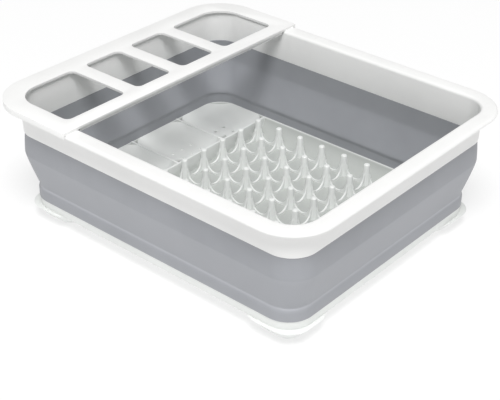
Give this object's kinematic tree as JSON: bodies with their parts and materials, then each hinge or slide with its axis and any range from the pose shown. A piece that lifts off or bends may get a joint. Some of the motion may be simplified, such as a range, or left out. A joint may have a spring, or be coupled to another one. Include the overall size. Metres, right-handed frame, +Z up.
{
  "type": "collapsible dish drainer",
  "caption": "Fold-flat dish drainer: stiff rim and pronged tray joined by a soft folding wall, with a lift-off cutlery rack.",
  "frame": {"origin": "on the ground at the centre of the overall outline, below the middle of the tray", "axes": "+Z up through the open top; +X along the long sides towards the plain end, the cutlery rack at the -X end; +Y across"},
  "size_m": [0.372, 0.32, 0.1295],
  "materials": {
    "white_plastic": "satin injection moulded",
    "tray_plastic": "satin, slightly translucent, injection moulded",
    "soft_wall": "matt overmoulded thermoplastic rubber"
  },
  "bodies": {
    "base": {"base_tray": "tray_plastic", "lower_wall_band": "soft_wall", "basin_wall": "tray_plastic", "prong_rib_grid": "tray_plastic", "basin_rib_1": "tray_plastic", "basin_rib_2": "tray_plastic", "basin_rib_3": "tray_plastic", "cutlery_basin_1": "tray_plastic", "cutlery_basin_2": "tray_plastic", "cutlery_basin_3": "tray_plastic", "cutlery_basin_4": "tray_plastic", "prong_row_1": "tray_plastic", "prong_row_2": "tray_plastic", "prong_row_3": "tray_plastic", "prong_row_4": "tray_plastic", "prong_row_5": "tray_plastic", "prong_row_6": "tray_plastic", "prong_row_7": "tray_plastic", "prong_row_8": "tray_plastic", "prong_row_9": "tray_plastic", "foot_front_plain_end": "tray_plastic", "foot_rear_plain_end": "tray_plastic", "foot_front_cutlery_end": "tray_plastic", "foot_rear_cutlery_end": "tray_plastic"},
    "rim": {"rim_frame": "white_plastic", "upper_wall_band": "soft_wall"},
    "fold": {"fold_band": "soft_wall"},
    "rack": {"cutlery_rack": "white_plastic"}
  },
  "joints": [
    {"name": "collapse", "type": "slide", "parent": "base", "child": "rim", "axis": [0, 0, -1], "range_m": [0, 0.071], "deforming": ["fold_band"]},
    {"name": "wall_fold", "type": "slide", "parent": "base", "child": "fold", "axis": [0, 0, -1], "range_m": [0, 0.0355]},
    {"name": "rack_lift", "type": "slide", "parent": "rim", "child": "rack", "axis": [0, 0, 1], "range_m": [0, 0.06]}
  ],
  "couplings": [
    {"joint": "wall_fold", "follows": "collapse", "ratio": 0.5}
  ]
}
